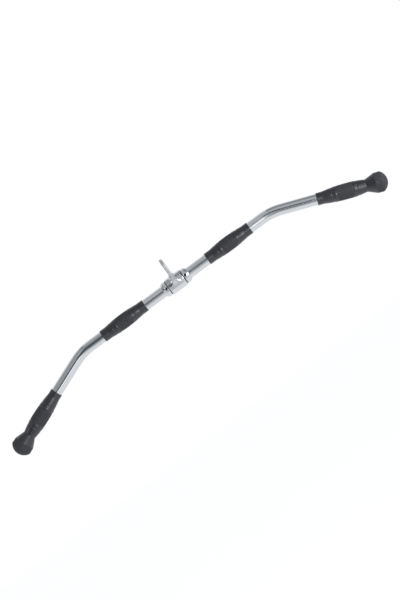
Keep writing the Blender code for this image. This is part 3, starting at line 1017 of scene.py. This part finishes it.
def make_world():
    """White wherever the camera looks. Round the camera itself the studio is dimmer."""
    world = bpy.data.worlds.new("studio")
    bpy.context.scene.world = world
    nodes = emptied(world)
    direction = nodes.add("ShaderNodeTexCoord").outputs["Generated"]
    split = nodes.add("ShaderNodeSeparateXYZ", {"Vector": direction}).outputs
    x, y, z = split["X"], split["Y"], split["Z"]
    angle = nodes.math("ARCTAN2", z, nodes.math("MULTIPLY", y, -1.0))
    turn = nodes.scaled(angle, (-math.pi, math.pi), (0.0, 1.0))

    def levels(part):
        column = STUDIO_PARTS.index(part) + 1
        ramp = nodes.add("ShaderNodeValToRGB", {"Fac": turn})
        stops = ramp.color_ramp.elements
        while len(stops) < len(STUDIO_LEVELS):
            stops.new(0.5)
        for stop, row in zip(stops, STUDIO_LEVELS):
            stop.position = (row[0] + 180) / 360
            level = row[column]
            stop.color = (level - STUDIO_COLD, level, level + STUDIO_COLD, 1)
        return ramp.outputs["Color"]

    def window(sides, soft):
        low, high = sides
        rise = nodes.scaled(x, (low - soft, low), (0.0, 1.0), smooth=True)
        fall = nodes.scaled(x, (high, high + soft), (1.0, 0.0), smooth=True)
        return nodes.math("MULTIPLY", rise, fall)

    studio = levels("room")
    for part, sides, soft in (
        ("front", FRONT_SIDES, FRONT_SOFT),
        ("stand", STAND_SIDES, STAND_SOFT),
        ("panel", PANEL_SIDES, STAND_SOFT),
        ("screen", SCREEN_SIDES, STAND_SOFT),
        ("leg", LEG_SIDES, STAND_SOFT),
        ("strip", STRIP_SIDES, STAND_SOFT),
    ):
        studio = nodes.mix(window(sides, soft), studio, levels(part))
    for part, edge in (("wall", WALL_EDGE), ("side", SIDE_EDGE)):
        past = nodes.scaled(x, (edge - WALL_SOFT, edge), (1.0, 0.0), smooth=True)
        studio = nodes.mix(past, studio, levels(part))
    path = nodes.add("ShaderNodeLightPath").outputs
    light = nodes.add("ShaderNodeBackground", {"Color": studio})
    white = nodes.add("ShaderNodeBackground", {"Color": (1, 1, 1, 1)})
    both = nodes.add("ShaderNodeMixShader", {"Fac": path["Is Camera Ray"]})
    nodes.give(both.inputs[1], light.outputs[0])
    nodes.give(both.inputs[2], white.outputs[0])
    output = nodes.add("ShaderNodeOutputWorld")
    nodes.give(output.inputs["Surface"], both.outputs[0])


# Name, azimuth and elevation in degrees, distance, width and height, and power in watts.
# The angles are seen from the hub, and the azimuth runs from the camera towards +X
LAMPS = [
    ("key", 19, -5, 3.0, (0.7, 1.0), 17),
    ("dot", -65, 29, 3.0, (0.7, 0.42), 4.4),
    ("side", 70, 0, 1.3, (0.45, 0.45), 4),
]


def make_lamp(name, azimuth, elevation, distance, size, power):
    """A soft lamp aimed at the hub."""
    azimuth = math.radians(azimuth)
    elevation = math.radians(elevation)
    level = math.cos(elevation)
    out = Vector((math.sin(azimuth) * level, -math.cos(azimuth) * level, math.sin(elevation)))
    lamp = bpy.data.lights.new(name, "AREA")
    lamp.shape = "RECTANGLE"
    lamp.size, lamp.size_y = size
    lamp.energy = power
    obj = bpy.data.objects.new(name, lamp)
    obj.location = HUB_CENTRE + out * distance
    obj.rotation_euler = out.to_track_quat("Z", "Y").to_euler()
    bpy.context.scene.collection.objects.link(obj)


CAMERA_TARGET = Vector((0.0221, 0, -0.1251))
CAMERA_DISTANCE = 6.0
CAMERA_SIDE = math.radians(2.08)  # how far round towards +X the camera stands
CAMERA_ROLL = math.radians(36.53)
CAMERA_LENS = 138.24
CAMERA_SENSOR = 36.0


def make_camera():
    data = bpy.data.cameras.new("camera")
    data.lens = CAMERA_LENS
    data.sensor_width = CAMERA_SENSOR
    camera = bpy.data.objects.new("camera", data)
    bpy.context.scene.collection.objects.link(camera)
    ahead = Vector((-math.sin(CAMERA_SIDE), math.cos(CAMERA_SIDE), 0))
    right = Vector((math.cos(CAMERA_SIDE), math.sin(CAMERA_SIDE), 0))
    up = Vector((0, 0, 1))
    turned_right = right * math.cos(CAMERA_ROLL) - up * math.sin(CAMERA_ROLL)
    turned_up = right * math.sin(CAMERA_ROLL) + up * math.cos(CAMERA_ROLL)
    axes = Matrix((turned_right, turned_up, -ahead)).transposed().to_4x4()
    camera.matrix_world = Matrix.Translation(CAMERA_TARGET - ahead * CAMERA_DISTANCE) @ axes
    bpy.context.scene.camera = camera


def dress(obj, material, body, node):
    """Give a piece its material, hang it on the body it rides on and hide the model's node that it
    stands for.
    """
    obj.data.materials.append(material)
    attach(obj, body)
    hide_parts(node)


chrome_tube = make_chrome("chrome_tube")
chrome_collar = make_chrome("chrome_collar")
cast_chrome = make_cast_chrome()
black_steel = make_black_steel()
bush_plastic = make_plastic("bush_plastic", BUSH_TINTS, roughness=(0.40, 0.52))
plug_plastic = make_plastic("plug_plastic", PLUG_TINTS, roughness=(0.50, 0.62), own_place=False)
smooth_rubber = make_rubber(
    "smooth_rubber",
    SMOOTH_RUBBER_TINTS,
    roughness=(0.34, 0.40),
    specular=0.74,
    skin_scale=500,
    skin_depth=0.00005,
)
matt_rubber = make_rubber(
    "matt_rubber",
    MATT_RUBBER_TINTS,
    roughness=(0.62, 0.74),
    specular=0.42,
    skin_scale=1500,
    skin_depth=0.00012,
)

dress(make_tube(), chrome_tube, "bar", "bar_tube")
dress(make_housing(), cast_chrome, "hub", "swivel_housing")

for side_name, side in SIDES.items():
    bush = make_bush(side_name, side)
    dress(bush, bush_plastic, "hub", "bush_" + side_name)
    collar = make_collar(side_name, side)
    dress(collar, chrome_collar, "bar", "collar_" + side_name)

    place = side * (SLEEVE_LENGTH / 2 - BUSH_SCREW_INSET)
    reach = (BUSH_RADIUS + FIT_GAP, SLEEVE_RADIUS - SCREW_SINK)
    screw = make_screw("bush_grub_screw_" + side_name, place, BUSH_SCREW_ANGLE, *reach)
    dress(screw, black_steel, "hub", "bush_screw_" + side_name)

    place = side * (COLLAR_START + COLLAR_SCREW_INSET)
    reach = (BORE_RADIUS, COLLAR_RADIUS - SCREW_SINK)
    screw = make_screw("collar_grub_screw_" + side_name, place, COLLAR_SCREW_ANGLE, *reach)
    dress(screw, black_steel, "bar", "collar_screw_" + side_name)

    for make_grip_of_kind, kind in ((make_mid_grip, "mid_grip_"), (make_end_grip, "end_grip_")):
        grip = make_grip_of_kind(side_name, side)
        dress(grip, smooth_rubber, "bar", kind + side_name)
        grip.data.materials.append(matt_rubber)

    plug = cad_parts["tube_plug_" + side_name]
    plug.data.materials.clear()
    plug.data.materials.append(plug_plastic)

make_floor(cad_box[0].z - FLOOR_DROP)
make_world()
for lamp in LAMPS:
    make_lamp(*lamp)
make_camera()
bpy.context.scene.view_settings.view_transform = "Standard"
